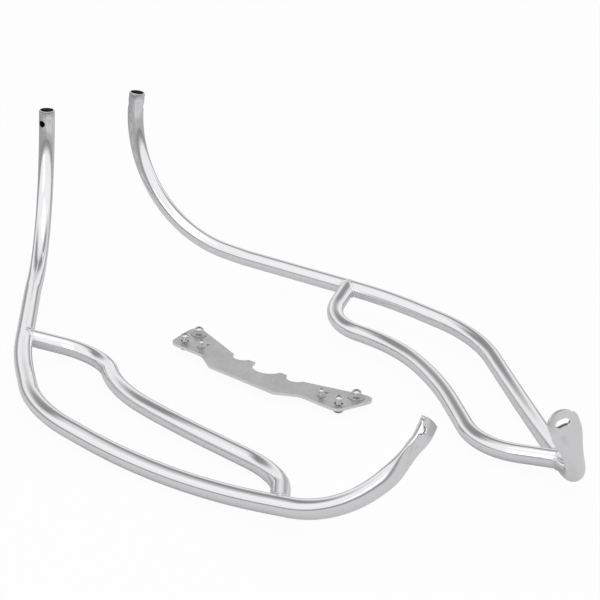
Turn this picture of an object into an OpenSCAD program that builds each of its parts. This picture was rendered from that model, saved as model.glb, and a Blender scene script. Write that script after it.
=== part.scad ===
// Crash bar kit for a motorcycle: two mirrored tube frames and a mounting plate
// with its screws, laid out flat the way a shop shows them.
// Millimetres. Z is up, the floor is z = 0, Y runs away from the viewer.

/* [Tube] */
// Outside diameter of the main tubes
tube_d = 25.4; // [25.3:0.1:26]
// Outside diameter of the brace tubes
brace_d = 25; // [22:0.1:25.1]
// Wall thickness of every tube
tube_wall = 2; // [1.6:0.1:2.4]
// Radius of the long bend below the open top end
top_bend_r = 204; // [170:1:206]
// Radius of the bend at the front of the lower run
tip_bend_r = 160; // [130:1:164]
// Radius of the brace bend next to its upper weld
brace_bend_r = 90; // [75:1:96]
// Width of the weld beads
bead_w = 3; // [2:0.25:4]

/* [Open top end] */
// Diameter of the cross hole through both walls
cross_hole_d = 11; // [8:0.5:13]
// Distance of the cross hole from the mouth
cross_hole_drop = 21; // [16:0.5:26]

/* [Dished slotted end] */
// Width across the flattened tip
tip_w = 39; // [36:0.5:40]
// Length over which the round tube becomes flat
flat_len = 92; // [80:1:100]
// Depth of the hollow pressed into the flattened tip
dish_depth = 10; // [8:0.5:11]
// Length of the slot, measured across the tip
slot_len = 19; // [15:0.5:22]
// Width of the slot
slot_w = 11; // [8:0.5:12]
// Distance of the slot's middle from the end of the tip
slot_back = 17; // [15:0.5:20]

/* [Mounting plate] */
// Thickness of the plate
plate_t = 4; // [3:0.5:5]
// Half of the length of the plate
plate_half = 172; // [170:1:180]
// Height of the plate's underside above the floor
plate_lift = 9; // [8:0.5:10]
// Radius of the middle scallop
scallop_mid_r = 24; // [18:0.5:26]
// Radius of the two outer scallops
scallop_side_r = 15; // [10:0.5:16]
// Diameter of the small empty holes
small_hole_d = 5.4; // [4:0.2:7]

/* [Screws] */
// Diameter of the large screws' heads
large_head_d = 14; // [13:0.5:15]
// Diameter of the large screws' shanks
large_shank_d = 8; // [7:0.5:8]
// Diameter of the small screws' heads
small_head_d = 10.5; // [9:0.5:11]
// Diameter of the small screws' shanks
small_shank_d = 6; // [5:0.5:6]
// Outside diameter of the large washers
large_washer_d = 24; // [20:0.5:26]

/* [Hidden] */
$fn = 96;
tube_r = tube_d / 2;
bore_r = tube_r - tube_wall;
brace_r = brace_d / 2;
// clearance left where two separate pieces meet
seat_gap = 0.02;
eps = 0.01;

// Corner points of the left frame's main tube, from the open mouth to the tip,
// and the bend radius at each corner between them.
// The two end corners move out with their bends, so that the straight runs stay.
function unit(v) = v / norm(v);
top_grow = (top_bend_r - 204) * 0.976;
tip_grow = (tip_bend_r - 160) * 0.836;
top_corner = [-16, 637, 35] + top_grow * unit([122, 199, 12]);
tip_corner = [-121, -461, 48] + tip_grow * unit([133, -278, 43]);
main_pts = [
    top_corner + [-6, -4, 213 + top_grow],
    top_corner,
    [-138, 438, 23],
    [-267, 206, 29],
    [-325, 49, 25],
    [-254, -183, 5],
    tip_corner,
    tip_corner + unit([62, 21, 122]) * 0.866 * tip_bend_r
];
main_rad = [top_bend_r, 209, 700, 204, 1100, tip_bend_r];

// Corner points of the left frame's brace. The first and the last lie on the
// main tube's own axis, so the tube is coped around it there.
brace_pts = [
    [-231.6, 269.6, 27.4],
    [-144, 191, 10.8],
    [-191.4, 67, 18.3],
    [-174.6, -65, 20.8],
    [-119, -236, 10.9],
    [-184, -329.5, 28]
];
brace_rad = [brace_bend_r, 270, 619, 112];

// Where the left frame lies. The right frame is the left one mirrored, turned
// and moved on the floor.
left_move = [-25.5, -69, 0.06];
right_turn = [1.76, 1.92, -2.94];
right_move = [22.8, -115.6, 13.47];

// The plate's place on the floor.
plate_at = [18.5, -17];
plate_turn = -74;

// Directions and angles of a bent tube
function dirn(p, i) = unit(p[i + 1] - p[i]);
function corner_deg(p, i) = acos(max(-1, min(1, dirn(p, i - 1) * dirn(p, i))));
function cut_back(p, r, i) =
    (i <= 0 || i >= len(p) - 1) ? 0 : r[i - 1] * tan(corner_deg(p, i) / 2);
function inward(p, i) =
    let (u = dirn(p, i - 1), v = dirn(p, i)) unit(v - u * (u * v));
function sideways(d) = unit(cross(d, abs(d[2]) < 0.9 ? [0, 0, 1] : [1, 0, 0]));

// Moves a child so that its own X and Z axes lie along x and z at point p
module placed(p, x, z) {
    y = cross(z, x);
    multmatrix([
        [x[0], y[0], z[0], p[0]],
        [x[1], y[1], z[1], p[1]],
        [x[2], y[2], z[2], p[2]],
        [0, 0, 0, 1]
    ]) children();
}

// One straight run
module run_piece(p, q, r) {
    d = unit(q - p);
    placed(p, sideways(d), d) cylinder(r = r, h = norm(q - p));
}

// Length of the straight run after corner i, and the turn of the bending plane
// from the corner before i to corner i, as a tube bender would be set
function run_len(p, rad, i) =
    norm(p[i + 1] - p[i]) - cut_back(p, rad, i) - cut_back(p, rad, i + 1);
function plane_turn(p, i) =
    let (
        d = dirn(p, i - 1),
        a = i < 2 ? sideways(d) : inward_after(p, i - 1),
        b = inward(p, i)
    )
    atan2(cross(a, b) * d, a * b);
function inward_after(p, i) =
    let (u = dirn(p, i - 1), v = dirn(p, i)) -unit(u - v * (v * u));

// A straight piece of tube, and a bent one about an axis bend_r away
module tube_run(r, hole_r, h) {
    difference() {
        cylinder(r = r, h = h);
        translate([0, 0, -1]) cylinder(r = hole_r, h = h + 2);
    }
}
module tube_bend(r, hole_r, bend_r, deg) {
    rotate_extrude(angle = deg) translate([bend_r, 0]) difference() {
        circle(r = r);
        circle(r = hole_r);
    }
}

// Follows the path from corner i on: a run, then a bend, then the rest in the
// frame that the bend ends in. Runs and bends meet with a hair of clearance.
// The last bend may stop short by less degrees, and runs before first are left out.
module follow(p, rad, r, hole_r, i, less = 0, first = 0) {
    n = len(p);
    h = run_len(p, rad, i);
    before = i > 0 ? seat_gap : 0;
    after = i < n - 2 ? seat_gap : 0;
    if (i >= first && !(less > 0 && i == n - 2))
        translate([0, 0, before]) tube_run(r, hole_r, h - before - after);
    if (i < n - 2) {
        bend_r = rad[i];
        deg = corner_deg(p, i + 1);
        short = i + 1 == n - 2 ? less : 0;
        translate([0, 0, h]) rotate([0, 0, plane_turn(p, i + 1)])
            translate([bend_r, 0, 0]) {
                rotate([90, 0, 180]) tube_bend(r, hole_r, bend_r, deg - short);
                rotate([0, deg, 0]) translate([-bend_r, 0, 0])
                    follow(p, rad, r, hole_r, i + 1, less, first);
            }
    }
}
module bent_tube(p, rad, r, hole_r, less = 0, first = 0) {
    d = dirn(p, 0);
    placed(p[0], sideways(d), d) follow(p, rad, r, hole_r, 0, less, first);
}

// Flattened tip. The last bend is carried on as a loft of sections that go
// from the round tube to a shallow dish with both walls nearly touching.
n_main = len(main_pts);
tip_i = n_main - 2;
flat_deg = flat_len / tip_bend_r * 180 / PI;
flat_start_deg = corner_deg(main_pts, tip_i) - flat_deg;
u_tip = dirn(main_pts, tip_i - 1);
w_tip = inward(main_pts, tip_i);
c_tip = main_pts[tip_i] - u_tip * cut_back(main_pts, main_rad, tip_i)
    + w_tip * tip_bend_r;
function tip_dir_at(s) =
    let (a = flat_start_deg + s / tip_bend_r * 180 / PI)
    u_tip * cos(a) + w_tip * sin(a);
function tip_in_at(s) =
    let (a = flat_start_deg + s / tip_bend_r * 180 / PI)
    w_tip * cos(a) - u_tip * sin(a);
function tip_at(s) = c_tip - tip_in_at(s) * tip_bend_r;
width_tip = cross(w_tip, u_tip);

round_n = 32;
loft_n = 16;
wall_gap = 1.4;
end_round = 6;
function ease(t) = t <= 0 ? 0 : (t >= 1 ? 1 : t * t * (3 - 2 * t));
function sgn_pow(x, k) = (x < 0 ? -1 : 1) * pow(abs(x), k);
// How far the section at s has become flat, and how far it has been dished
function flat_at(s) = ease((s - 4) / (flat_len * 0.72));
function dish_at(s) = ease((s - flat_len * 0.30) / (flat_len * 0.58));
// Point k of a section: r is the round radius, half the flat half width and
// h the flat half thickness. First number across the tip, second inward.
function tip_point(s, k, r, half, h) =
    let (
        a = 360 * k / round_n,
        t = flat_at(s),
        x = (1 - t) * r * cos(a) + t * half * cos(a),
        y = (1 - t) * r * sin(a) + t * h * sgn_pow(sin(a), 0.55),
        q = x / (tip_w / 2)
    )
    [x, y + dish_at(s) * dish_depth * (0.45 - q * q)];
function tip_space(s, k, r, half, h) =
    let (
        pt = tip_point(s, k, r, half, h),
        q = min(0.999, abs(pt[0]) / (tip_w / 2 + 0.5)),
        back = end_round * (1 - sqrt(1 - q * q)) * pow(max(0, s) / flat_len, 3),
        c = s - back
    )
    tip_at(c) + width_tip * pt[0] + tip_in_at(c) * pt[1];
// Sections start where the round tube stops
function tip_s(m) = seat_gap + (flat_len - seat_gap) * m / loft_n;

module dished_tip() {
    skin = [for (m = [0 : loft_n], k = [0 : round_n - 1])
        tip_space(tip_s(m), k, tube_r, tip_w / 2, tube_wall + wall_gap / 2)];
    core = [for (m = [0 : loft_n], k = [0 : round_n - 1])
        tip_space(tip_s(m), k, bore_r, tip_w / 2 - tube_wall, wall_gap / 2)];
    c0 = (loft_n + 1) * round_n;
    faces = [
        for (m = [0 : loft_n - 1], k = [0 : round_n - 1])
            let (j = (k + 1) % round_n, a = m * round_n, b = a + round_n)
                each [
                    [a + k, b + k, b + j],
                    [a + k, b + j, a + j],
                    [c0 + a + k, c0 + b + j, c0 + b + k],
                    [c0 + a + k, c0 + a + j, c0 + b + j]
                ],
        for (k = [0 : round_n - 1])
            let (j = (k + 1) % round_n, b = loft_n * round_n)
                each [
                    [k, j, c0 + j],
                    [k, c0 + j, c0 + k],
                    [b + k, c0 + b + j, b + j],
                    [b + k, c0 + b + k, c0 + b + j]
                ]
    ];
    polyhedron(points = concat(skin, core), faces = faces, convexity = 8);
}

// Slot across the flattened tip
module tip_slot() {
    s = flat_len - slot_back;
    placed(tip_at(s), width_tip, tip_in_at(s)) translate([0, 0, -20])
        linear_extrude(height = 40) union() {
            square([slot_len - slot_w, slot_w], center = true);
            for (k = [-1, 1])
                translate([k * (slot_len - slot_w) / 2, 0]) circle(d = slot_w);
        }
}

// Hole through both walls just below the mouth, square to the tube
cross_dir_raw = [cos(204), sin(204), 0];
mouth_dir = dirn(main_pts, 0);
cross_dir = unit(cross_dir_raw - mouth_dir * (cross_dir_raw * mouth_dir));
module cross_hole() {
    at = main_pts[0] + mouth_dir * cross_hole_drop;
    placed(at - cross_dir * tube_d, sideways(cross_dir), cross_dir)
        cylinder(d = cross_hole_d, h = 2 * tube_d);
}

// The main tube is one piece of tube in three parts: the short straight run at
// the open mouth, the long bent length, and the dished end with its slot.
module mouth_run() {
    d = dirn(main_pts, 0);
    difference() {
        placed(main_pts[0], sideways(d), d)
            tube_run(tube_r, bore_r, run_len(main_pts, main_rad, 0) - seat_gap);
        cross_hole();
    }
}

module main_tube() {
    difference() {
        bent_tube(main_pts, main_rad, tube_r, bore_r, flat_deg, 1);
        cross_hole();
    }
}

module tip_end() {
    difference() {
        dished_tip();
        tip_slot();
    }
}

// The straight runs of the main tube that the brace is coped around
module upper_seat(r) { run_piece(main_pts[2], main_pts[3], r); }
module lower_seat(r) { run_piece(main_pts[5], main_pts[6], r); }

module brace_tube() {
    difference() {
        bent_tube(brace_pts, brace_rad, brace_r, brace_r - tube_wall);
        upper_seat(tube_r + seat_gap);
        lower_seat(tube_r + seat_gap);
    }
}

// Bead laid in the corner between the coped tube and the main tube: all that
// lies within one bead width of both skins.
module bead(i) {
    difference() {
        intersection() {
            run_piece(brace_pts[i], brace_pts[i + 1], brace_r + bead_w);
            children(0);
        }
        run_piece(brace_pts[i], brace_pts[i + 1], brace_r + seat_gap);
        children(1);
    }
}
module upper_bead() {
    bead(0) {
        upper_seat(tube_r + bead_w);
        upper_seat(tube_r + seat_gap);
    }
}
module lower_bead() {
    bead(len(brace_pts) - 2) {
        lower_seat(tube_r + bead_w);
        lower_seat(tube_r + seat_gap);
    }
}

module on_left() { translate(left_move) children(); }
module on_right() {
    translate(right_move) rotate(right_turn) mirror([1, 0, 0]) children();
}

// Corner rounding of a flat outline
function turn_at(p, i) =
    let (
        n = len(p),
        a = unit(p[i] - p[(i + n - 1) % n]),
        b = unit(p[(i + 1) % n] - p[i])
    )
    atan2(a[0] * b[1] - a[1] * b[0], a * b);
function fillet(p, i, r) =
    let (
        n = len(p),
        a = unit(p[i] - p[(i + n - 1) % n]),
        t = turn_at(p, i),
        s = sign(t),
        from = p[i] - a * r * tan(abs(t) / 2),
        c = from + s * r * [-a[1], a[0]],
        start = atan2(from[1] - c[1], from[0] - c[0]),
        steps = max(2, ceil(abs(t) / 6))
    )
    [for (k = [0 : steps]) c + r * [cos(start + t * k / steps), sin(start + t * k / steps)]];
function rounded(p, r) = [for (i = [0 : len(p) - 1]) each fillet(p, i, r[i])];

// Plate outline, right half from the lower middle round to the upper middle
half_pts = [[61, -57], [93, -36], [plate_half - 14, -36], [plate_half + 5, 41], [66, 1.5]];
half_rad = [12, 14, 14, 15, 1.5];
all_pts = concat(
    half_pts,
    [for (i = [len(half_pts) - 1 : -1 : 0]) [-half_pts[i][0], half_pts[i][1]]]
);
all_rad = concat(half_rad, [for (i = [len(half_rad) - 1 : -1 : 0]) half_rad[i]]);

hole_a = [plate_half - 22, 17];
hole_b = [plate_half - 26, -17];
hole_c = [plate_half - 58, -16];
hole_d = [plate_half - 59, -3];
large_hole_d = large_shank_d + 1;
open_hole_d = large_shank_d + 4;
plate_top = plate_lift + plate_t;

module at_each(p, z = 0) {
    for (k = [-1, 1]) translate([k * p[0], p[1], z]) children();
}
module on_plate() {
    translate([plate_at[0], plate_at[1], 0]) rotate([0, 0, plate_turn]) children();
}

module plate() {
    difference() {
        translate([0, 0, plate_lift]) linear_extrude(height = plate_t)
            polygon(rounded(all_pts, all_rad));
        translate([0, 4, plate_lift - 1]) cylinder(r = scallop_mid_r, h = plate_t + 2);
        at_each([51, 5], plate_lift - 1) cylinder(r = scallop_side_r, h = plate_t + 2);
        at_each(hole_a, plate_lift - 1) cylinder(d = large_hole_d, h = plate_t + 2);
        at_each(hole_b, plate_lift - 1) cylinder(d = open_hole_d, h = plate_t + 2);
        at_each(hole_c, plate_lift - 1) cylinder(d = small_shank_d + 0.6, h = plate_t + 2);
        at_each(hole_d, plate_lift - 1) cylinder(d = small_hole_d, h = plate_t + 2);
    }
}

// Rounded sleeves under the plate that the open holes lead into
sleeve_d = open_hole_d + 5;
module sleeves() {
    at_each(hole_b, 0) difference() {
        union() {
            cylinder(r1 = sleeve_d / 2 - 3, r2 = sleeve_d / 2, h = 4);
            translate([0, 0, 4]) cylinder(d = sleeve_d, h = plate_lift - 4 - seat_gap);
        }
        translate([0, 0, -1]) cylinder(d = large_shank_d + 2 * seat_gap, h = plate_lift + 2);
    }
}

// A domed screw with a six-sided socket. The shank starts at z = 0.
module dome_screw(shank_d, shank_h, head_d, head_h) {
    rim = head_h * 0.25;
    rise = head_h - rim;
    ball = (head_d * head_d / 4 + rise * rise) / (2 * rise);
    difference() {
        union() {
            cylinder(d = shank_d, h = shank_h + eps);
            translate([0, 0, shank_h]) intersection() {
                cylinder(d = head_d, h = head_h);
                translate([0, 0, head_h - ball]) sphere(r = ball);
            }
        }
        translate([0, 0, shank_h + head_h * 0.35])
            cylinder(d = head_d * 0.42, h = head_h, $fn = 6);
    }
}

washer_t = 1.6;
large_head_h = 4.4;
small_head_h = 3.3;
proud_z = 20;

module ring(d_out, d_in, h) {
    difference() {
        cylinder(d = d_out, h = h);
        translate([0, 0, -1]) cylinder(d = d_in, h = h + 2);
    }
}
module post_screws() {
    at_each(hole_a) dome_screw(large_shank_d, proud_z, large_head_d, large_head_h);
}
module post_washers() {
    at_each(hole_a, plate_top + seat_gap)
        ring(large_washer_d, large_shank_d + 2 * seat_gap, washer_t);
}
module sleeve_screws() {
    at_each(hole_b) dome_screw(large_shank_d, proud_z, large_head_d, large_head_h);
}
module small_screws() {
    at_each(hole_c) dome_screw(small_shank_d, proud_z + 0.5, small_head_d, small_head_h);
}
module small_washers() {
    at_each(hole_c, plate_top + seat_gap)
        ring(12, small_shank_d + 2 * seat_gap, 1.2);
}

module left_open_end() { color([0.84, 0.85, 0.86]) on_left() mouth_run(); }
module left_main_tube() { color([0.82, 0.83, 0.85]) on_left() main_tube(); }
module left_slotted_end() { color([0.86, 0.86, 0.87]) on_left() tip_end(); }
module left_brace_tube() { color([0.78, 0.79, 0.81]) on_left() brace_tube(); }
module left_upper_weld() { color([0.7, 0.7, 0.7]) on_left() upper_bead(); }
module left_lower_weld() { color([0.7, 0.7, 0.7]) on_left() lower_bead(); }
module right_open_end() { color([0.84, 0.85, 0.86]) on_right() mouth_run(); }
module right_main_tube() { color([0.82, 0.83, 0.85]) on_right() main_tube(); }
module right_slotted_end() { color([0.86, 0.86, 0.87]) on_right() tip_end(); }
module right_brace_tube() { color([0.78, 0.79, 0.81]) on_right() brace_tube(); }
module right_upper_weld() { color([0.7, 0.7, 0.7]) on_right() upper_bead(); }
module right_lower_weld() { color([0.7, 0.7, 0.7]) on_right() lower_bead(); }
module mounting_plate() { color([0.68, 0.69, 0.7]) on_plate() plate(); }
module plate_sleeves() { color([0.75, 0.75, 0.76]) on_plate() sleeves(); }
module large_post_screws() { color([0.8, 0.8, 0.82]) on_plate() post_screws(); }
module large_washers() { color([0.8, 0.8, 0.82]) on_plate() post_washers(); }
module large_sleeve_screws() { color([0.8, 0.8, 0.82]) on_plate() sleeve_screws(); }
module small_plate_screws() { color([0.8, 0.8, 0.82]) on_plate() small_screws(); }
module small_plate_washers() { color([0.72, 0.72, 0.74]) on_plate() small_washers(); }

left_open_end();
left_main_tube();
left_slotted_end();
left_brace_tube();
left_upper_weld();
left_lower_weld();
right_open_end();
right_main_tube();
right_slotted_end();
right_brace_tube();
right_upper_weld();
right_lower_weld();
mounting_plate();
plate_sleeves();
large_post_screws();
large_washers();
large_sleeve_screws();
small_plate_screws();
small_plate_washers();
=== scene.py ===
# %% [markdown]
# A pair of chromed crash bars and their mounting plate lie on a white floor. The
# solids come from the CAD frame, which holds every true size. This lesson dresses
# them: smooth bent tubes, pressed ends, weld beads, a satin plate and its screws.

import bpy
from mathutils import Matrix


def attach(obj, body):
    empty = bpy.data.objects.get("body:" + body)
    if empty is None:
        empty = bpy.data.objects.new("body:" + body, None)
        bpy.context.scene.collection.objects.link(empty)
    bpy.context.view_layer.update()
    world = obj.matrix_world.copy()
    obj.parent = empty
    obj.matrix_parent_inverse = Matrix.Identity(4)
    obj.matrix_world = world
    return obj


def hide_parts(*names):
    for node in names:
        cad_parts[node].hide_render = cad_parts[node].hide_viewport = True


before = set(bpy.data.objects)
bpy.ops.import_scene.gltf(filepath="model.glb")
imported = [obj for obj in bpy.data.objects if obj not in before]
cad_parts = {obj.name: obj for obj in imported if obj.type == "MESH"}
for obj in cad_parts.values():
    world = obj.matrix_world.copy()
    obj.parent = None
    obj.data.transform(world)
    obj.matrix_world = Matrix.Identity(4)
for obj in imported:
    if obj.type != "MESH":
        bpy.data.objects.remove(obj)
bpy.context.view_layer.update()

# %% [markdown]
# Blender counts in metres, a workshop in millimetres. The sizes below are written
# in millimetres, and MM turns them into metres. The meshes are made with bmesh,
# whose operators are the tools of Edit Mode, called from a script.

# %% Tools used below
import math

import bmesh
import bpy
from mathutils import Matrix, Vector

MM = 0.001
FULL_TURN = 2 * math.pi
UP = Vector((0, 0, 1))
OUTSIDE, INSIDE = 0, 1  # a piece's first material slot and its second
scene = bpy.context.scene
print("solids in the frame:", len(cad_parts))

# %% [markdown]
# The real bars are bent from one inch tube. A bender clamps the tube, feeds a
# straight length, then rolls it round a die. The same facts are enough here: the
# corner points of the path, and the die's radius at each corner. They are the
# sizes of the part's own source, so the dressed tube and the solid one lie in the
# same place. A run is a straight length, counted from the open end. The brace is
# welded to two of them.

# %% Sizes of the tubes
TUBE_R, BRACE_R, WALL = 12.7, 12.5, 2.0
MAIN_PATH = [
    (-22, 633, 248), (-16, 637, 35), (-138, 438, 23), (-267, 206, 29),
    (-325, 49, 25), (-254, -183, 5), (-121, -461, 48), (-59, -440, 170),
]
MAIN_DIES = [204, 209, 700, 204, 1100, 160]
BRACE_PATH = [
    (-231.6, 269.6, 27.4), (-144, 191, 10.8), (-191.4, 67, 18.3),
    (-174.6, -65, 20.8), (-119, -236, 10.9), (-184, -329.5, 28),
]
BRACE_DIES = [90, 270, 619, 112]
UPPER_RUN, LOWER_RUN = 2, 5
print("main tube:", 2 * TUBE_R, "mm across,", len(MAIN_DIES), "bends")
print("brace:", 2 * BRACE_R, "mm across,", len(BRACE_DIES), "bends")

# %% [markdown]
# Each main tube has two unlike ends. One stays open, and is drilled across for a
# bolt. The other is pressed flat over its last 92 mm, dished so that its edges
# stand forward, rounded at the tip, and slotted for the mounting bolt.

# %% Sizes of the two ends
CROSS_R, CROSS_DROP, CROSS_AZIMUTH = 5.5, 21.0, 204
FLAT_LEN, TIP_W, END_ROUND = 92.0, 39.0, 11.0
DISH, WALL_GAP = 10.0, 1.4
TROUGH, TROUGH_W = 3.0, 8.5
SLOT_LEN, SLOT_W, SLOT_BACK = 19.0, 11.0, 17.0
print("pressed end:", FLAT_LEN, "mm long,", TIP_W, "mm wide")
print("slot:", SLOT_LEN, "x", SLOT_W, "mm, cross hole:", 2 * CROSS_R, "mm")

# %% [markdown]
# Where the pieces lie. The right bar is the left one mirrored, then turned a few
# degrees as it settles on the floor. So each piece is made once, at the left bar's
# own origin, and a matrix carries it to its place. Moving the finished object
# would do the same on the screen, but here a finished piece's place has to be in
# its mesh.

# %% Places on the floor
def put(x, y, z):
    return Matrix.Translation(Vector((x, y, z)) * MM)


def tilt(x, y, z):
    """A turn about X, then Y, then Z, in degrees."""
    turn = Matrix.Identity(4)
    for angle, axis in zip((x, y, z), "XYZ"):
        turn = Matrix.Rotation(math.radians(angle), 4, axis) @ turn
    return turn


MIRROR = Matrix.Diagonal((-1, 1, 1, 1))
PLACES = {
    "left": put(-25.5, -69, 0.06),
    "right": put(22.8, -115.6, 13.47) @ tilt(1.76, 1.92, -2.94) @ MIRROR,
}
PLATE_TURN = 74
PLATE_PLACE = put(18.5, -17, 0) @ tilt(0, 0, -PLATE_TURN)
print("mirrored bars:", [side for side, place in PLACES.items() if place.determinant() < 0])

# %% [markdown]
# A finish is a small net of nodes. They could be laid out by hand in the Shader
# Editor. From a script, one helper adds a node and fills its sockets, and the
# others add the kinds that come back: a sum, a mapped range and a colour ramp.

# %% Helpers for nodes
def node(owner, kind, inputs=None, operation=None):
    """Adds a node. Each input gets a value, or a link from another node's output."""
    made = owner.node_tree.nodes.new(kind)
    if operation:
        made.operation = operation
    for socket, value in (inputs or {}).items():
        if isinstance(value, bpy.types.NodeSocket):
            owner.node_tree.links.new(value, made.inputs[socket])
        else:
            made.inputs[socket].default_value = value
    return made


def maths(owner, operation, *values):
    return node(owner, "ShaderNodeMath", dict(enumerate(values)), operation).outputs[0]


def fade(owner, value, start, stop, low=0.0, high=1.0):
    """Maps start..stop to low..high and holds both ends."""
    return node(owner, "ShaderNodeMapRange", {
        "Value": value, "From Min": start, "From Max": stop,
        "To Min": low, "To Max": high,
    }).outputs["Result"]


def ramp(owner, fac, stops):
    """A colour ramp through stops, each a position and a colour."""
    made = node(owner, "ShaderNodeValToRGB", {"Fac": fac})
    band = made.color_ramp.elements
    band[0].position, band[0].color = stops[0]
    band[1].position, band[1].color = stops[-1]
    for at, colour in stops[1:-1]:
        band.new(at).color = colour
    return made.outputs["Color"]


def grey(level):
    return (level, level, level, 1)


print("mid grey as a colour:", grey(0.5))

# %% [markdown]
# Chrome is almost a mirror: a metal with a pale, slightly cool colour and very
# little roughness. Perfect evenness looks false, so a slow noise lets the
# roughness wander, and a faint bump keeps the reflections from being ruler
# straight. A picture of scratches would need a UV map. Noise read from Object
# coordinates needs none, and it stays on the surface from every side.

# %% Chrome
def metal(name, colour, roughness):
    mat = bpy.data.materials.new(name)
    mat.use_nodes = True
    shader = mat.node_tree.nodes["Principled BSDF"]
    shader.inputs["Base Color"].default_value = (*colour, 1)
    shader.inputs["Metallic"].default_value = 1.0
    shader.inputs["Roughness"].default_value = roughness
    return mat, shader


def noise(mat, scale, detail=2.0, stretch=(1, 1, 1), turn=0.0):
    """Noise with about scale blots to the metre, stretched and turned about Z."""
    laid = node(mat, "ShaderNodeMapping", {
        "Vector": node(mat, "ShaderNodeTexCoord").outputs["Object"],
        "Scale": stretch, "Rotation": (0, 0, turn),
    })
    return node(mat, "ShaderNodeTexNoise", {
        "Vector": laid.outputs["Vector"], "Scale": scale, "Detail": detail,
    }).outputs["Fac"]


def wander(mat, shader, fac, low, high):
    """Lets the roughness wander from low to high. Most noise lies in 0.3 to 0.7."""
    rough = fade(mat, fac, 0.3, 0.7, low, high)
    mat.node_tree.links.new(rough, shader.inputs["Roughness"])


def bump(mat, shader, fac, strength, depth):
    relief = node(mat, "ShaderNodeBump", {
        "Height": fac, "Strength": strength, "Distance": depth * MM,
    })
    mat.node_tree.links.new(relief.outputs["Normal"], shader.inputs["Normal"])


def chrome(name, colour, low, high, relief):
    mat, shader = metal(name, colour, low)
    wander(mat, shader, noise(mat, scale=14, detail=3), low, high)
    bump(mat, shader, noise(mat, scale=60), strength=relief, depth=0.05)
    return mat


polished = chrome("polished chrome", (0.86, 0.86, 0.875), 0.05, 0.10, relief=0.015)
weld = chrome("plated weld", (0.78, 0.78, 0.795), 0.12, 0.20, relief=0.12)
screws = chrome("bright screws", (0.66, 0.66, 0.68), 0.08, 0.16, relief=0.05)
print("chromes:", [m.name for m in (polished, weld, screws)])

# %% [markdown]
# The plate is satin steel: a fine grain along its length, left by an abrasive
# belt. The noise is stretched along that way, and it drives a slight mottle of
# the colour and a shallow relief. The plate's edge strips are painted brighter, a
# painted highlight where the edges catch the light. The zinc of the washers is
# duller. The inside of a tube is unplated, rough steel, painted nearly black as
# shade in the bore.

# %% Satin steel, a painted edge highlight, zinc, and bare metal with painted shade
def satin(name, colour, turn=0.0):
    mat, shader = metal(name, colour, 0.4)
    dark, light = (tuple(c * k for c in colour) for k in (0.93, 1.04))
    blots = noise(mat, scale=330, detail=6, stretch=(0.5, 1, 1), turn=turn)
    tones = ramp(mat, blots, [(0.34, (*dark, 1)), (0.66, (*light, 1))])
    mat.node_tree.links.new(tones, shader.inputs["Base Color"])
    wander(mat, shader, noise(mat, scale=45, detail=5), 0.28, 0.46)
    grain = noise(mat, scale=420, detail=4, stretch=(0.12, 1, 1), turn=turn)
    bump(mat, shader, grain, strength=0.6, depth=0.12)
    return mat


plate_satin = satin("satin plate", (0.62, 0.62, 0.625), math.radians(PLATE_TURN))
painted_edge_highlight = satin("satin with painted edge highlight", (0.88, 0.88, 0.885))
zinc = satin("dull zinc", (0.56, 0.56, 0.57))
# Bare steel inside the tubes, painted nearly black as shade in the bores and the sleeves'
# counterbores.
bare_and_painted_shade, bare_and_painted_shade_shader = metal("unplated steel with painted shade inside", (0.06, 0.05, 0.04), 0.55)
wander(bare_and_painted_shade, bare_and_painted_shade_shader, noise(bare_and_painted_shade, scale=90, detail=4), 0.45, 0.7)
print("materials:", sorted(m.name for m in bpy.data.materials))

# %% [markdown]
# A path becomes a row of stations. Each station is a small coordinate frame whose
# Z axis points along the tube. Along a straight run they differ by a shift, and
# round a die by a turn. Each frame is the one before, turned by the least amount,
# so the skin that is drawn through them has no twist.

# %% Stations along a bent tube
def die_angle(corners, i):
    return (corners[i] - corners[i - 1]).angle(corners[i + 1] - corners[i])


def bend_from(corners, dies, i):
    """Where the bend at corner i starts, the way it comes in, and towards its hub."""
    u = (corners[i] - corners[i - 1]).normalized()
    v = (corners[i + 1] - corners[i]).normalized()
    start = corners[i] - u * dies[i - 1] * math.tan(die_angle(corners, i) / 2)
    return start, u, (v - u * u.dot(v)).normalized()


def path_points(corners, dies, stop_short=0.0, feed=24.0, roll=6.0):
    """Points and ways along the path, about feed and roll millimetres apart."""
    points, ways = [corners[0]], [(corners[1] - corners[0]).normalized()]
    last = len(corners) - 2
    for i in range(1, last + 1):
        start, u, inward = bend_from(corners, dies, i)
        foot = points[-1]
        steps = max(1, round((start - foot).length / feed))
        for k in range(1, steps + 1):
            points.append(foot.lerp(start, k / steps))
            ways.append(u)
        angle, arm = die_angle(corners, i) - (stop_short if i == last else 0), dies[i - 1]
        steps = max(6, round(angle * arm / roll))
        for k in range(1, steps + 1):
            a = angle * k / steps
            points.append(start + arm * (math.sin(a) * u + (1 - math.cos(a)) * inward))
            ways.append(u * math.cos(a) + inward * math.sin(a))
    if not stop_short:
        points.append(corners[-1])
        ways.append(ways[-1])
    return points, ways


def stations(points, ways):
    turn = UP.rotation_difference(ways[0])
    frames = [Matrix.LocRotScale(points[0] * MM, turn, None)]
    for p, before, way in zip(points[1:], ways, ways[1:]):
        turn = before.rotation_difference(way) @ turn
        frames.append(Matrix.LocRotScale(p * MM, turn, None))
    return frames


main_corners = [Vector(c) for c in MAIN_PATH]
brace_corners = [Vector(c) for c in BRACE_PATH]
main_line = path_points(main_corners, MAIN_DIES, stop_short=FLAT_LEN / MAIN_DIES[-1])
print("stations on the main tube:", len(main_line[0]))

# %% [markdown]
# The skin is swept the way a tube is drawn. One circle is made at the first
# station, then its loop of edges is extruded to the next station, and so on. At
# the far end the sweep turns round and comes back inside, so that the wall is
# one closed skin. A curve with a round bevel would be quicker, but its rings
# can't be pressed one by one, and the pressed end needs that.

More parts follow.
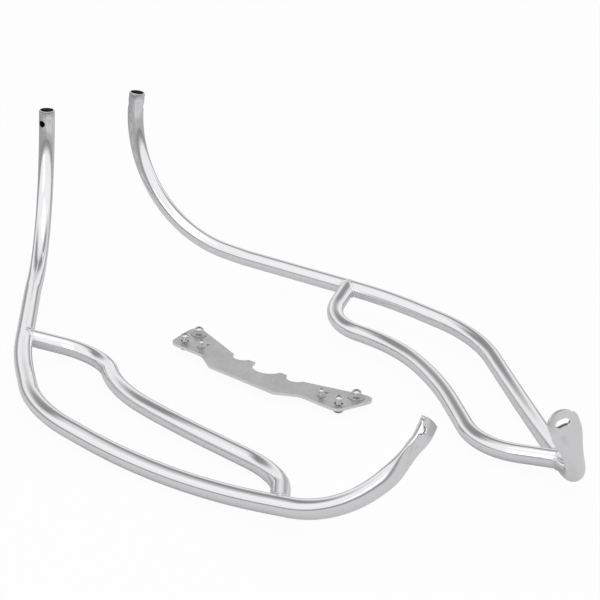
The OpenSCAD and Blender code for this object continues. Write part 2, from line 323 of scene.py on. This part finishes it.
# %% Sweep a ring through the stations
def loop_edges(verts):
    ring = set(verts)
    inside = (e for v in verts for e in v.link_edges if set(e.verts) <= ring)
    return list(dict.fromkeys(inside))


def new_verts(grown):
    return [g for g in grown["geom"] if isinstance(g, bmesh.types.BMVert)]


def sweep(bm, frames, radius, segments=64):
    rings = [bmesh.ops.create_circle(
        bm, segments=segments, radius=radius * MM, matrix=frames[0],
    )["verts"]]
    for here, there in zip(frames, frames[1:]):
        verts = new_verts(bmesh.ops.extrude_edge_only(bm, edges=loop_edges(rings[-1])))
        bmesh.ops.transform(bm, matrix=there @ here.inverted(), verts=verts)
        rings.append(verts)
    return rings


def close_up(bm, first, last):
    """Merges the last ring of a closed sweep with the first, where it has come back."""
    bmesh.ops.remove_doubles(bm, verts=first + last, dist=0.01 * MM)
    return [v for v in first + last if v.is_valid]


def sweep_wall(bm, frames, radius):
    """A tube's wall: out along the stations, back along them inside, and closed."""
    thin = (radius - WALL) / radius
    back = [f @ Matrix.Diagonal((thin, thin, 1, 1)) for f in reversed(frames)]
    rings = sweep(bm, frames + back + frames[:1], radius)
    outer, inner = rings[:len(frames)], rings[len(frames):-1][::-1]
    outer[0] = close_up(bm, rings[0], rings[-1])
    # The inner skin takes the second slot: bare steel with painted shade.
    bore = {v for ring in inner for v in ring}
    for face in bm.faces:
        face.material_index = INSIDE if bore.issuperset(face.verts) else OUTSIDE
    return outer, inner


print("rings in a main tube's wall:", 2 * len(main_line[0]), "and the pressed ones")

# %% [markdown]
# Every piece ends in the same way. Its normals are made to point outwards, it gets
# its finishes, and it is shaded smooth except across sharp edges. Chosen edges may
# be rounded first: a real lip is never razor sharp, and the small round catches a
# line of light.

# %% Finish a mesh
def soften(bm, edges, width, segments=2):
    bmesh.ops.bevel(
        bm, geom=edges, offset=width * MM, offset_type="OFFSET", segments=segments,
        profile=0.5, affect="EDGES", material=-1, clamp_overlap=True,
    )


def finish_mesh(bm, name, *finishes):
    bmesh.ops.recalc_face_normals(bm, faces=bm.faces)
    mesh = bpy.data.meshes.new(name)
    for mat in finishes:
        mesh.materials.append(mat)
    bm.to_mesh(mesh)
    bm.free()
    return bpy.data.objects.new(name, mesh)


def smooth(obj, sharp_from=34):
    """Smooth shading, with an edge kept sharp from so many degrees."""
    obj.data.shade_smooth()
    obj.data.set_sharp_from_angle(angle=math.radians(sharp_from))


# %% [markdown]
# The pressed end. In the press the round section turns into a flat one, and the
# last bend goes on through it. Each ring's points keep their angle round the
# tube, and move to the flat, dished section by a share that grows along the end.
# Halfway along, the press leaves a drop-shaped trough in the middle. A lattice
# could squash the tube too, but these formulas give the same section as the solid.

# %% Where the pressed end lies
LAST_BEND = len(MAIN_PATH) - 2
bend_r = MAIN_DIES[-1]
bend_start, bend_way, bend_in = bend_from(main_corners, MAIN_DIES, LAST_BEND)
bend_angle = die_angle(main_corners, LAST_BEND)
bend_hub = bend_start + bend_in * bend_r
across = bend_in.cross(bend_way)


def end_frame(s):
    """Place and inward way on the last bend, s millimetres into the pressed end."""
    a = bend_angle + (s - FLAT_LEN) / bend_r
    inward = bend_in * math.cos(a) - bend_way * math.sin(a)
    return bend_hub - inward * bend_r, inward


def end_station(s):
    at, inward = end_frame(s)
    turn = Matrix((across, inward, across.cross(inward))).transposed()
    return Matrix.LocRotScale(at * MM, turn.to_quaternion(), None)


print("tip at, mm:", [round(c, 1) for c in end_frame(FLAT_LEN)[0]])

# %% [markdown]
# The press works by shares of the end's length. The flattening, the dish and the
# trough each start at one place and are complete some way further on, and eased()
# makes each of them begin and end softly, as sheet metal does.

# %% Press the rings
FLAT_FROM, FLAT_OVER = 4.0, FLAT_LEN * 0.72
DISH_FROM, DISH_OVER = FLAT_LEN * 0.30, FLAT_LEN * 0.58
TROUGH_FROM, TROUGH_GROWS = FLAT_LEN * 0.12, 40.0
TROUGH_TO, TROUGH_ENDS = FLAT_LEN * 0.74, 12.0
SIDE_FULLNESS = 0.55  # below 1 makes the flat section boxier than an ellipse
DISH_LEVEL = 0.45  # how high the middle of the dish stands, as a share of DISH


def eased(t):
    t = max(0.0, min(1.0, t))
    return t * t * (3 - 2 * t)


def rounded_back(x, s):
    """How far the tip's round corner draws a point back along the tube."""
    e = min(0.999, abs(x) / (TIP_W / 2 + 0.5))
    return END_ROUND * (1 - math.sqrt(1 - e * e)) * (max(0.0, s) / FLAT_LEN) ** 3


def pressed(angle, s, radius, half_w, half_t):
    """The point at this angle of a ring, after pressing, in metres."""
    flat = eased((s - FLAT_FROM) / FLAT_OVER)
    dish = eased((s - DISH_FROM) / DISH_OVER)
    hollow = eased((s - TROUGH_FROM) / TROUGH_GROWS) * eased((TROUGH_TO - s) / TROUGH_ENDS)
    c, v = math.cos(angle), math.sin(angle)
    x = (radius + (half_w - radius) * flat) * c
    y = (1 - flat) * radius * v
    y += flat * half_t * math.copysign(abs(v) ** SIDE_FULLNESS, v)
    y += dish * DISH * (DISH_LEVEL - (x / (TIP_W / 2)) ** 2)
    y += TROUGH * hollow * math.exp(-((x / TROUGH_W) ** 2))
    at, inward = end_frame(s - rounded_back(x, s))
    return (at + across * x + inward * y) * MM


def press_ring(ring, s, radius, half_w, half_t):
    to_local = end_station(s).inverted()
    for v in ring:
        p = to_local @ v.co
        v.co = pressed(math.atan2(p.y, p.x), s, radius, half_w, half_t)


print("flat from", round(FLAT_FROM + FLAT_OVER), "mm, dished from",
      round(DISH_FROM + DISH_OVER), "mm into the end")

# %% [markdown]
# The holes are drilled after bending, as in the workshop. Each cut is a boolean
# with a plain solid, and its result is written back at once, so the piece stays
# a plain mesh in its own place.

# %% Drill and slot
def rod(at, way, radius, length, segments=64):
    """A closed round bar, for cutting."""
    bm = bmesh.new()
    turn = UP.rotation_difference(way)
    bmesh.ops.create_cone(
        bm, cap_ends=True, segments=segments, radius1=radius * MM,
        radius2=radius * MM, depth=length * MM,
        matrix=Matrix.LocRotScale(at * MM, turn, None),
    )
    return finish_mesh(bm, "cutter")


def slot_bar(place, length, width, depth, segments=48):
    """A bar with a slot's outline: a disc pulled apart, then extruded."""
    bm = bmesh.new()
    bmesh.ops.create_circle(
        bm, cap_ends=True, segments=segments, radius=width / 2 * MM,
        matrix=Matrix.Rotation(math.pi / segments, 4, "Z"),
    )
    for v in bm.verts:
        v.co.x += math.copysign((length - width) / 2 * MM, v.co.x)
        v.co.z -= depth / 2 * MM
    top = new_verts(bmesh.ops.extrude_face_region(bm, geom=bm.faces[:]))
    bmesh.ops.translate(bm, vec=(0, 0, depth * MM), verts=top)
    bmesh.ops.transform(bm, matrix=place, verts=bm.verts)
    return finish_mesh(bm, "cutter")


def settle(obj):
    """Writes the modifiers' result into the mesh."""
    graph = bpy.context.evaluated_depsgraph_get()
    mesh = bpy.data.meshes.new_from_object(obj.evaluated_get(graph))
    obj.modifiers.clear()
    obj.data = mesh


def cut(obj, tools):
    for o in [obj] + tools:
        scene.collection.objects.link(o)
    for tool in tools:
        step = obj.modifiers.new("cut", "BOOLEAN")
        step.operation, step.solver, step.object = "DIFFERENCE", "EXACT", tool
    settle(obj)
    for tool in tools:
        bpy.data.objects.remove(tool, do_unlink=True)
    scene.collection.objects.unlink(obj)
    print(obj.name, "cut", len(tools), "times, faces:", len(obj.data.polygons))


# %% [markdown]
# One main tube. Its wall is swept, the last rings are pressed flat, and the lips
# get a small round. Over the last few millimetres the press shuts the two walls on
# each other. The inner skin carries a second material: plating barely reaches the
# inside of a tube, so it is bare steel, and it is painted nearly black as the
# shade inside the bore.

# %% Build a main tube
PRESS_STEPS, LIP_ROUND = 48, 0.35
SHUT_LEN, SHUT_GAP = 6.0, 0.08  # over these millimetres, to this share of the gap
mouth_way = main_line[1][0]
level = Vector((math.cos(math.radians(CROSS_AZIMUTH)),
                math.sin(math.radians(CROSS_AZIMUTH)), 0))
cross_way = (level - mouth_way * level.dot(mouth_way)).normalized()


def roll_to_press(frames):
    """Rolls the round rings so that their points line up with the pressed ones."""
    local = frames[-1].to_3x3().inverted() @ end_station(0).to_3x3().col[0]
    roll = Matrix.Rotation(math.atan2(local.y, local.x), 4, "Z")
    return [f @ roll for f in frames]


def main_tube(name):
    lengths = [FLAT_LEN * k / PRESS_STEPS for k in range(1, PRESS_STEPS + 1)]
    frames = roll_to_press(stations(*main_line)) + [end_station(s) for s in lengths]
    bm = bmesh.new()
    outer, inner = sweep_wall(bm, frames, TUBE_R)
    for s, ring, bore in zip(lengths, outer[-PRESS_STEPS:], inner[-PRESS_STEPS:]):
        press_ring(ring, s, TUBE_R, TIP_W / 2, WALL + WALL_GAP / 2)
        shut = min(1.0, SHUT_GAP + (FLAT_LEN - s) / SHUT_LEN)
        press_ring(bore, s, TUBE_R - WALL, TIP_W / 2 - WALL, WALL_GAP / 2 * shut)
    lips = [e for ring in (outer[0], inner[0], outer[-1]) for e in loop_edges(ring)]
    soften(bm, lips, LIP_ROUND)
    tube = finish_mesh(bm, name, polished, bare_and_painted_shade)
    place = end_station(FLAT_LEN - SLOT_BACK) @ Matrix.Rotation(math.radians(-90), 4, "X")
    cut(tube, [
        rod(main_corners[0] + mouth_way * CROSS_DROP, cross_way, CROSS_R, length=50),
        slot_bar(place, SLOT_LEN, SLOT_W, depth=40),
    ])
    smooth(tube)
    return tube


print("cross hole goes along:", [round(c, 3) for c in cross_way])

# %% [markdown]
# The brace is a second bent tube. Its ends are coped: cut to the curve of the
# main tube that they are welded to. A bar as thick as the main tube makes that
# cut at both ends, as a hole saw does on the bench.

# %% Build a brace
def run_bar(run, clearance=0.02):
    """A bar in the place of one straight run of the main tube."""
    a, b = main_corners[run], main_corners[run + 1]
    return rod((a + b) / 2, b - a, TUBE_R + clearance, (b - a).length, 96)


def brace_tube(name):
    frames = stations(*path_points(brace_corners, BRACE_DIES))
    bm = bmesh.new()
    sweep_wall(bm, frames, BRACE_R)
    tube = finish_mesh(bm, name, polished, bare_and_painted_shade)
    cut(tube, [run_bar(UPPER_RUN), run_bar(LOWER_RUN)])
    smooth(tube)
    return tube


print("brace, end to end, mm:", round((brace_corners[-1] - brace_corners[0]).length))

# %% [markdown]
# The weld beads. A bead fills the corner between the two skins, so its path is
# the line where the brace's surface meets the main tube's. Lines parallel to the
# brace's axis are followed to the main tube to find it. A boolean could give that
# line too, but only as loose edges without an order.

# %% Find the corner line
def saddle(end, towards, run, count=168):
    """Points on the corner line, with the two skins' outward ways."""
    way = (towards - end).normalized()
    foot = main_corners[run]
    axis = (main_corners[run + 1] - foot).normalized()
    x = way.cross(axis).normalized()
    y = way.cross(x)
    flat_way = way - axis * way.dot(axis)
    line = []
    for k in range(count):
        t = FULL_TURN * k / count
        side = math.cos(t) * x + math.sin(t) * y
        start = end + side * BRACE_R - foot
        off = start - axis * start.dot(axis)
        a, b = flat_way.dot(flat_way), 2 * off.dot(flat_way)
        c = off.dot(off) - TUBE_R ** 2
        reach = (-b + math.sqrt(max(0.0, b * b - 4 * a * c))) / (2 * a)
        off += flat_way * reach
        line.append((foot + start + way * reach, off.normalized(), side))
    return line


UPPER_JOINT = (brace_corners[0], brace_corners[1], UPPER_RUN)
LOWER_JOINT = (brace_corners[-1], brace_corners[-2], LOWER_RUN)
print("points round a joint:", len(saddle(*UPPER_JOINT)))

# %% [markdown]
# A small ring is swept round that line, a little out of the corner. It swells and
# shrinks slightly, as the pool did each time the welder moved on.

# %% Build a bead
BEAD_R, BEAD_OUT, BEAD_SWELL, BEAD_PULSES = 1.9, 0.5, 0.035, 28


def bead(name, end, towards, run):
    line = saddle(end, towards, run)
    frames = []
    for k, (at, main_out, brace_out) in enumerate(line):
        ahead = (line[(k + 1) % len(line)][0] - line[k - 1][0]).normalized()
        out = main_out + brace_out
        out = (out - ahead * out.dot(ahead)).normalized()
        turn = Matrix((out, ahead.cross(out), ahead)).transposed().to_quaternion()
        swell = 1 + BEAD_SWELL * math.sin(FULL_TURN * BEAD_PULSES * k / len(line))
        place = Matrix.LocRotScale((at + out * BEAD_OUT) * MM, turn, None)
        frames.append(place @ Matrix.Diagonal((swell, swell, 1, 1)))
    bm = bmesh.new()
    rings = sweep(bm, frames + frames[:1], BEAD_R, segments=16)
    close_up(bm, rings[0], rings[-1])
    obj = finish_mesh(bm, name, weld)
    smooth(obj, 60)
    return obj


print("bead:", 2 * BEAD_R, "mm across,", BEAD_PULSES, "pulses")

# %% [markdown]
# The right bar's matrix is a mirror, so its faces are turned the right way out.

# %% Put both bars in place
dressed = []


def show(obj, place, slot, *nodes):
    obj.data.transform(place)
    if place.determinant() < 0:
        obj.data.flip_normals()
    scene.collection.objects.link(obj)
    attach(obj, "root")
    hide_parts(*nodes)
    dressed.append(obj)


for side, place in PLACES.items():
    show(main_tube(f"{side}_bent_tube"), place, "polished_tube",
         f"{side}_open_end", f"{side}_main_tube", f"{side}_slotted_end")
    show(brace_tube(f"{side}_coped_brace"), place, "polished_tube", f"{side}_brace_tube")
    show(bead(f"{side}_upper_bead", *UPPER_JOINT), place, "weld_metal",
         f"{side}_upper_weld")
    show(bead(f"{side}_lower_bead", *LOWER_JOINT), place, "weld_metal",
         f"{side}_lower_weld")
print("pieces on the two bars:", len(dressed))

# %% [markdown]
# The mounting plate is cut from 4 mm sheet: a bar with two wide pads, and three
# scallops in its upper edge. Each corner is its place and the radius of its round,
# and each scallop is a circle. The holes come in pairs, one on each pad.

# %% Sizes of the plate
PLATE_T, PLATE_LIFT = 4.0, 9.0
PLATE_TOP = PLATE_LIFT + PLATE_T
HALF_OUTLINE = [(61, -57, 12), (93, -36, 14), (158, -36, 14), (177, 41, 15), (66, 1.5, 1.5)]
OUTLINE = HALF_OUTLINE + [(-x, y, r) for x, y, r in HALF_OUTLINE[::-1]]
SCALLOPS = [(0, 4, 24), (51, 5, 15), (-51, 5, 15)]
POST_HOLE, SLEEVE_HOLE, SMALL_HOLE, EMPTY_HOLE = (150, 17), (146, -17), (114, -16), (113, -3)
HOLE_RADII = [(POST_HOLE, 4.5), (SLEEVE_HOLE, 6.0), (SMALL_HOLE, 3.3), (EMPTY_HOLE, 2.7)]
print("plate:", len(OUTLINE), "corners,", len(SCALLOPS), "scallops,",
      2 * len(HOLE_RADII), "holes")

# %% [markdown]
# The outline starts as ten points joined by edges and filled with one face. Each
# corner is rounded with a vertex bevel, and the face is extruded to the plate's
# thickness. Drawing the rounds by hand would need a centre and angles for each.

# %% Cut the outline
def round_corners(bm, corners):
    for x, y, r in corners:
        v = min(bm.verts, key=lambda w: (w.co - Vector((x, y, 0)) * MM).length)
        a, b = [(e.other_vert(v).co - v.co) for e in v.link_edges]
        reach = r / math.tan(a.angle(b) / 2)
        bmesh.ops.bevel(
            bm, geom=[v], offset=reach * MM, offset_type="OFFSET", segments=10,
            profile=0.5, affect="VERTICES", material=-1,
        )


def sheet(name):
    bm = bmesh.new()
    ring = [bm.verts.new(Vector((x, y, 0)) * MM) for x, y, _ in OUTLINE]
    for a, b in zip(ring, ring[1:] + ring[:1]):
        bm.edges.new((a, b))
    bmesh.ops.contextual_create(bm, geom=bm.edges[:])
    round_corners(bm, OUTLINE)
    top = new_verts(bmesh.ops.extrude_face_region(bm, geom=bm.faces[:]))
    bmesh.ops.translate(bm, vec=(0, 0, PLATE_T * MM), verts=top)
    bmesh.ops.translate(bm, vec=(0, 0, PLATE_LIFT * MM), verts=bm.verts)
    return finish_mesh(bm, name, plate_satin, painted_edge_highlight)


print("plate stands", PLATE_LIFT, "mm above the floor")

# %% [markdown]
# The scallops and holes are cut through. Where two scallops meet the edge they
# leave sharp teeth, which are rounded. Then every edge is broken a little, as
# deburring does, here with a Bevel modifier that is applied at once. The narrow
# strips along the edges take a painted highlight, a brighter finish where they
# would catch the light.

# %% Build the plate
TOOTH_ROUND, EDGE_BREAK = 1.6, 0.45
FLAT_FACE = 0.8  # a face is edge where less of its normal than this is upright


def round_teeth(obj, upright=0.99, sharp=0.7):
    """Rounds the outer upright corners that turn by more than sharp radians."""
    bm = bmesh.new()
    bm.from_mesh(obj.data)
    teeth = []
    for e in bm.edges:
        a, b = (v.co for v in e.verts)
        stands = abs((a - b).normalized().z) > upright
        if stands and len(e.link_faces) == 2 and e.calc_face_angle_signed(0) > sharp:
            teeth.append(e)
    soften(bm, teeth, TOOTH_ROUND, 5)
    bm.to_mesh(obj.data)
    bm.free()
    print("teeth rounded:", len(teeth))


def plate(name):
    obj = sheet(name)
    middle, length = PLATE_LIFT + PLATE_T / 2, 3 * PLATE_T
    tools = [rod(Vector((x, y, middle)), UP, r, length, 96) for x, y, r in SCALLOPS]
    for k in (-1, 1):
        for (x, y), r in HOLE_RADII:
            tools.append(rod(Vector((k * x, y, middle)), UP, r, length, 48))
    cut(obj, tools)
    round_teeth(obj)
    scene.collection.objects.link(obj)
    edge = obj.modifiers.new("edge", "BEVEL")
    edge.width, edge.segments, edge.limit_method = EDGE_BREAK * MM, 3, "ANGLE"
    edge.angle_limit = math.radians(50)
    settle(obj)
    scene.collection.objects.unlink(obj)
    # The edge strips get the painted highlight: faces that don't face up or down.
    for face in obj.data.polygons:
        face.material_index = 1 if abs(face.normal.z) < FLAT_FACE else 0
    smooth(obj, 12)
    return obj


show(plate("scalloped_plate"), PLATE_PLACE, "brushed_plate", "mounting_plate")

# %% [markdown]
# The screws are turned parts, so each is a profile spun about its own axis: a
# chamfered point, a thread, a plain neck and a domed head. Real threads climb in a
# helix. Rings of the same pitch look the same at this size, and close without a
# seam. Washers and sleeves are spun the same way.

# %% Spin a profile
def spin_part(profile, closed, segments=56):
    """Spins a profile of (radius, height) points about Z."""
    bm = bmesh.new()
    line = [bm.verts.new((r * MM, 0, z * MM)) for r, z in profile]
    pairs = list(zip(line, line[1:])) + ([(line[-1], line[0])] if closed else [])
    edges = [bm.edges.new(p) for p in pairs]
    bmesh.ops.spin(
        bm, geom=line + edges, cent=(0, 0, 0), axis=(0, 0, 1), angle=FULL_TURN,
        steps=segments, use_merge=True, use_duplicate=False,
    )
    bmesh.ops.remove_doubles(bm, verts=bm.verts, dist=1e-6)
    return bm


SCREW_POINT, NECK = 0.4, 2.2
CREST = (0.45, 0.55)  # where a thread's flat top starts and ends, in pitches
RIM, DOME_STEPS = 0.22, 12  # the head's upright rim, as a share of its height


def screw_profile(shank, head, head_h, stand, pitch):
    r, root, rim = shank / 2, shank / 2 - pitch * 0.5, head_h * RIM
    points = [(0, 0), (root, 0)]
    z = SCREW_POINT
    while z + pitch < stand - NECK:
        points += [(root, z), (r, z + pitch * CREST[0]), (r, z + pitch * CREST[1])]
        z += pitch
    points += [(root, z), (r, z + 0.6), (r, stand - 0.3), (r + 0.3, stand)]
    points += [(head / 2 - 0.35, stand), (head / 2, stand + 0.35), (head / 2, stand + rim)]
    for k in range(1, DOME_STEPS):
        a = math.pi / 2 * k / DOME_STEPS
        points.append((head / 2 * math.cos(a), stand + rim + (head_h - rim) * math.sin(a)))
    return points + [(0, stand + head_h)]


def ring_profile(outer, inner, low, high, soft):
    return [(inner, low), (outer - soft, low), (outer, low + soft),
            (outer, high - soft), (outer - soft, high), (inner, high)]


print("a spun ring has", len(ring_profile(12, 4, 0, 2, 0.3)), "corners in its profile")

# %% [markdown]
# The head's top holds a hexagon socket. A six-sided bar cuts it, to a little more
# than half the head's height.

# %% Turned parts
STAND = 20.0
LARGE_SCREW = {"shank": 8, "head": 14, "head_h": 4.4, "stand": STAND, "pitch": 1.25}
SMALL_SCREW = {"shank": 6, "head": 10.5, "head_h": 3.3, "stand": STAND + 0.5, "pitch": 1.0}
SOCKET_R, SOCKET_DEEP = 0.21, 0.65  # shares of the head's width and height
SLEEVE = [(4.02, 0), (5.2, 0), (5.9, 0.5), (8.3, 3.6), (8.5, 4.2), (8.5, 8.9),
          (6.0, 8.9), (6.0, 1.2), (4.02, 1.2)]


def screw(shank, head, head_h, stand, pitch):
    profile = screw_profile(shank, head, head_h, stand, pitch)
    obj = finish_mesh(spin_part(profile, closed=False), "screw", screws)
    bm = bmesh.new()
    bmesh.ops.create_cone(
        bm, cap_ends=True, segments=6, radius1=head * SOCKET_R * MM,
        radius2=head * SOCKET_R * MM, depth=2 * head_h * SOCKET_DEEP * MM,
        matrix=Matrix.Translation((0, 0, (stand + head_h) * MM)),
    )
    cut(obj, [finish_mesh(bm, "cutter")])
    return obj


def washer(outer, inner, thick, clearance=0.02):
    low = PLATE_TOP + clearance
    profile = ring_profile(outer, inner, low, low + thick, soft=0.3)
    return finish_mesh(spin_part(profile, closed=True), "washer")


def sleeve():
    return finish_mesh(spin_part(SLEEVE, closed=True), "sleeve")


print("screws stand", STAND, "and", STAND + 0.5, "mm above the floor")

# %% [markdown]
# Each small part is made once and set twice, because the plate's two pads are
# mirror images. The pair is one piece, as it is one node in the CAD. The sleeves
# are open below, and their counterbore is painted nearly black, as painted shade
# in the hole.

# %% Lay the small parts on the plate
# Faces of the sleeves' counterbore, inside BORE_R and above BORE_FLOOR, get painted shade.
BORE_R, BORE_FLOOR = 6.1, 1.0


def pair(name, one, mat, hole, slot, cad_node, painted_shade_r=0.0):
    spots = [Vector((k * hole[0], hole[1], 0)) * MM for k in (-1, 1)]
    bm = bmesh.new()
    for spot in spots:
        copy = one.data.copy()
        copy.transform(Matrix.Translation(spot))
        bm.from_mesh(copy)
        bpy.data.meshes.remove(copy)
    bpy.data.objects.remove(one)
    both = finish_mesh(bm, name, mat, bare_and_painted_shade)
    # Faces near a hole's axis, above the floor of the bore, get the painted shade.
    for face in both.data.polygons:
        off = min((face.center - spot).xy.length for spot in spots)
        dark = off < painted_shade_r * MM and face.center.z > BORE_FLOOR * MM
        face.material_index = INSIDE if dark else OUTSIDE
    smooth(both, 40)
    show(both, PLATE_PLACE, slot, cad_node)


pair("large_post_dome_screws", screw(**LARGE_SCREW), screws, POST_HOLE,
     "bright_screws", "large_post_screws")
pair("large_sleeve_dome_screws", screw(**LARGE_SCREW), screws, SLEEVE_HOLE,
     "bright_screws", "large_sleeve_screws")
pair("small_dome_screws", screw(**SMALL_SCREW), screws, SMALL_HOLE,
     "bright_screws", "small_plate_screws")
pair("wide_washers", washer(12, 4.02, 1.6), zinc, POST_HOLE,
     "zinc_washers", "large_washers")
pair("narrow_washers", washer(6, 3.02, 1.2), zinc, SMALL_HOLE,
     "zinc_washers", "small_plate_washers")
pair("turned_sleeves", sleeve(), screws, SLEEVE_HOLE,
     "bright_screws", "plate_sleeves", BORE_R)
print("pieces in all:", len(dressed))

# %% [markdown]
# A shop shoots chrome inside a tent of white cloth, so that it mirrors nothing
# but white with a few soft grey seams. The world plays the tent here. The camera
# sees plain white. Mirrors see the cloth: white, a grey line at the horizon, and
# a darker band high up at the back, which draws the thin dark line along the
# upper edge of each tube. The back is a fixed side of the room, so nothing slides
# when the camera moves.

# %% The cloth of the tent
ROOM_BACK = (0.575, 0.818, 0)
FRONT_CLOTH = [(0.50, 0.28), (0.54, 0.36), (0.60, 0.95), (0.80, 1.0), (1.0, 1.0)]
BACK_CLOTH = [(0.50, 0.28), (0.54, 0.40), (0.60, 0.95), (0.70, 0.90), (0.80, 0.34),
              (0.87, 0.28), (0.93, 0.85), (0.97, 1.0), (1.0, 1.0)]

world = bpy.data.worlds.new("tent")
scene.world = world
world.use_nodes = True
world.node_tree.nodes.clear()
look = node(world, "ShaderNodeTexCoord").outputs["Generated"]
rise = node(world, "ShaderNodeSeparateXYZ", {0: look}).outputs["Z"]
height = maths(world, "MULTIPLY_ADD", rise, 0.5, 0.5)
front, back = (
    ramp(world, height, [(at, grey(level)) for at, level in cloth])
    for cloth in (FRONT_CLOTH, BACK_CLOTH)
)
facing = node(world, "ShaderNodeVectorMath", {0: look, 1: ROOM_BACK}, "DOT_PRODUCT")
to_back = fade(world, facing.outputs["Value"], 0.05, 0.35)
cloth = node(world, "ShaderNodeMixRGB", {0: to_back, 1: front, 2: back}).outputs["Color"]
print("greys in the back cloth:", [level for _, level in BACK_CLOTH])

# %% [markdown]
# Light Path tells which kind of ray is asking. With it the world gives three
# answers: a plain pale grey that lights the matt surfaces, the cloth for mirrors,
# and full white for the camera.

# %% Three answers of the world
def mix(owner, share, first, second):
    return node(owner, "ShaderNodeMixShader", {0: share, 1: first, 2: second}).outputs[0]


plain, mirrored, seen = (
    node(world, "ShaderNodeBackground", {"Color": colour}).outputs[0]
    for colour in (grey(0.80), cloth, grey(1.0))
)
rays = node(world, "ShaderNodeLightPath").outputs
room = mix(world, rays["Is Glossy Ray"], plain, mirrored)
room = mix(world, rays["Is Camera Ray"], room, seen)
node(world, "ShaderNodeOutputWorld", {"Surface": room})
print("nodes in the world:", len(world.node_tree.nodes))

# %% [markdown]
# The floor is a sheet of white card. To the camera it glows nearly as white as
# the backdrop, with a faint shadow left under the tubes. A floor lit by lamps
# alone would need so much light that the chrome would burn out.

# %% White card
CAMERA_GLOW, MIRROR_GLOW = 0.95, 0.06
card = bpy.data.materials.new("white card")
card.use_nodes = True
card.node_tree.nodes.clear()
rays = node(card, "ShaderNodeLightPath").outputs
matt = node(card, "ShaderNodeBsdfDiffuse", {"Color": grey(0.82)}).outputs[0]
glow = node(card, "ShaderNodeEmission", {"Color": grey(1.0)}).outputs[0]
share = maths(card, "MULTIPLY", rays["Is Camera Ray"], CAMERA_GLOW)
share = maths(card, "MULTIPLY_ADD", rays["Is Glossy Ray"], MIRROR_GLOW, share)
white = mix(card, share, matt, glow)
print("card glows to the camera:", CAMERA_GLOW, "and to mirrors:", MIRROR_GLOW)

# %% [markdown]
# Upright tubes mirror only the floor, so the gaps draw the thin dark lines along
# them. The pattern is measured on the floor itself: how far a spot is from the
# middle, and how far to the right.

# %% What the floor shows to mirrors
ROOM_RIGHT = (0.832, -0.555, 0)
SLAT, GAP_FROM, GAP_TO = 0.065, 0.016, 0.024
spot = node(card, "ShaderNodeTexCoord").outputs["Object"]
far = node(card, "ShaderNodeVectorMath", {0: spot}, "LENGTH").outputs["Value"]
aside = node(card, "ShaderNodeVectorMath", {0: spot, 1: ROOM_RIGHT}, "DOT_PRODUCT")
aside = aside.outputs["Value"]

past_edge = fade(card, far, 0.85, 1.30, 0.12, 0.36)
slats = maths(card, "PINGPONG", maths(card, "ADD", aside, 5.0), SLAT)
on_board = fade(card, aside, -0.46, -0.40, 1.0, 0.0)
gaps = maths(card, "MULTIPLY", fade(card, slats, GAP_FROM, GAP_TO, 0.92, 0.0), on_board)
shade = maths(card, "MULTIPLY", maths(card, "MAXIMUM", past_edge, gaps),
              rays["Is Glossy Ray"])
print("a dark gap every", round(2 * SLAT * 1000), "mm")

# %% Lay the floor
FLOOR_HALF = 9.0
dark = node(card, "ShaderNodeEmission", {"Color": grey(0.06)}).outputs[0]
node(card, "ShaderNodeOutputMaterial", {"Surface": mix(card, shade, white, dark)})
bm = bmesh.new()
bmesh.ops.create_grid(bm, x_segments=1, y_segments=1, size=FLOOR_HALF)
floor = finish_mesh(bm, "floor", card)
floor.data.transform(put(0, 0, -0.5))
scene.collection.objects.link(floor)
print("floor, metres across:", 2 * FLOOR_HALF)

# %% [markdown]
# Two soft lamps give the tent a direction: a wide one overhead and one from the
# left, which keeps the near side of the plate and screws alive. The tent does most
# of the lighting, so both stay weak.

# %% Lamps
def lamp(name, at, aim, wide, tall, power):
    data = bpy.data.lights.new(name, "AREA")
    data.shape, data.size, data.size_y, data.energy = "RECTANGLE", wide, tall, power
    obj = bpy.data.objects.new(name, data)
    obj.location = at
    obj.rotation_euler = (Vector(aim) - Vector(at)).to_track_quat("-Z", "Y").to_euler()
    scene.collection.objects.link(obj)
    print(name, "lamp:", power, "W")


lamp("overhead", at=(0.0, -0.2, 2.6), aim=(0, 0, 0), wide=2.2, tall=1.6, power=4)
lamp("left side", at=(-2.4, -0.8, 1.5), aim=(0, 0, 0.1), wide=1.0, tall=1.6, power=6)

# %% [markdown]
# The camera stands to the front left and looks down about 21 degrees. Its place
# and its long lens were worked out from the two bars' curves in the photograph.
# Three directions, to its right, down and ahead, fix how it is turned.

# %% Camera
LENS, SENSOR = 106.2, 36.0
CAMERA_AT = (-1.2848, -1.9406, 1.0200)
right, down, ahead = (Vector(v) for v in (
    (0.8305, -0.5532, 0.0649), (-0.1503, -0.3348, -0.9302), (0.5363, 0.7628, -0.3612)))
data = bpy.data.cameras.new("camera")
data.sensor_width, data.lens = SENSOR, LENS
camera = bpy.data.objects.new("camera", data)
view = Matrix((right, -down, -ahead)).transposed().to_4x4()
camera.matrix_world = Matrix.Translation(CAMERA_AT) @ view
scene.collection.objects.link(camera)
scene.camera = camera
scene.view_settings.view_transform = "Standard"
print("lens:", LENS, "mm, looking down", round(math.degrees(math.asin(-ahead.z))), "degrees")
